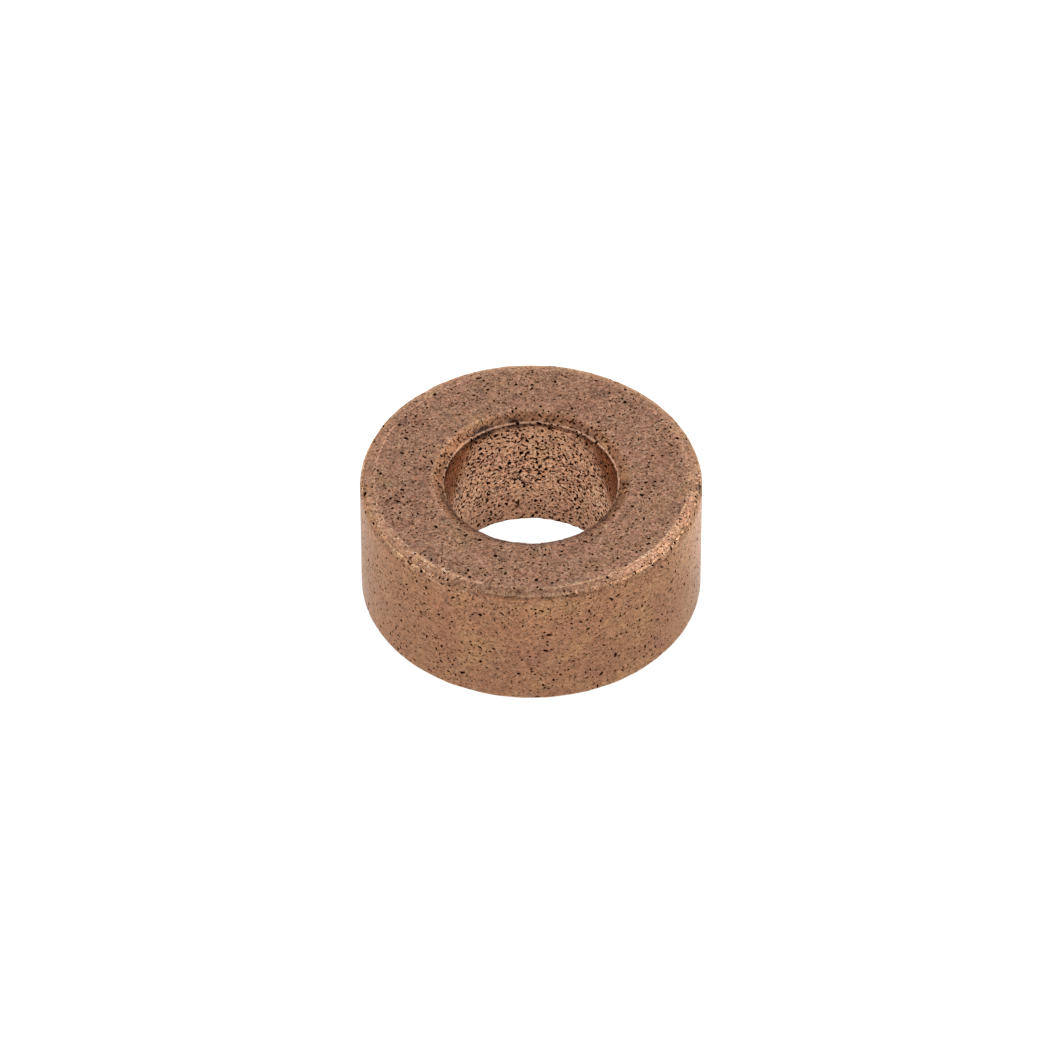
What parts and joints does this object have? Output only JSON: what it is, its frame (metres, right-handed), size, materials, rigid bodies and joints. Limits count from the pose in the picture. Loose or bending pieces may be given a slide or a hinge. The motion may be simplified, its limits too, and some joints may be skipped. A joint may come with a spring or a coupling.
{
  "type": "sleeve bushing",
  "caption": "Plain cylindrical sleeve bushing of porous sintered bronze, with a straight bore, flat end faces and small chamfers on its edges.",
  "frame": {"origin": "centre of the lower end face, on the bore's axis, where the sleeve stands on a surface", "axes": "+Z along the bore's axis, from the lower end face to the upper one; X and Y are any two square radii"},
  "size_m": [0.019, 0.019, 0.0079],
  "materials": {
    "sintered_bronze": "porous sintered bronze, satin, darkened by oil"
  },
  "bodies": {
    "root": {"bushing_sleeve": "sintered_bronze"}
  },
  "joints": []
}
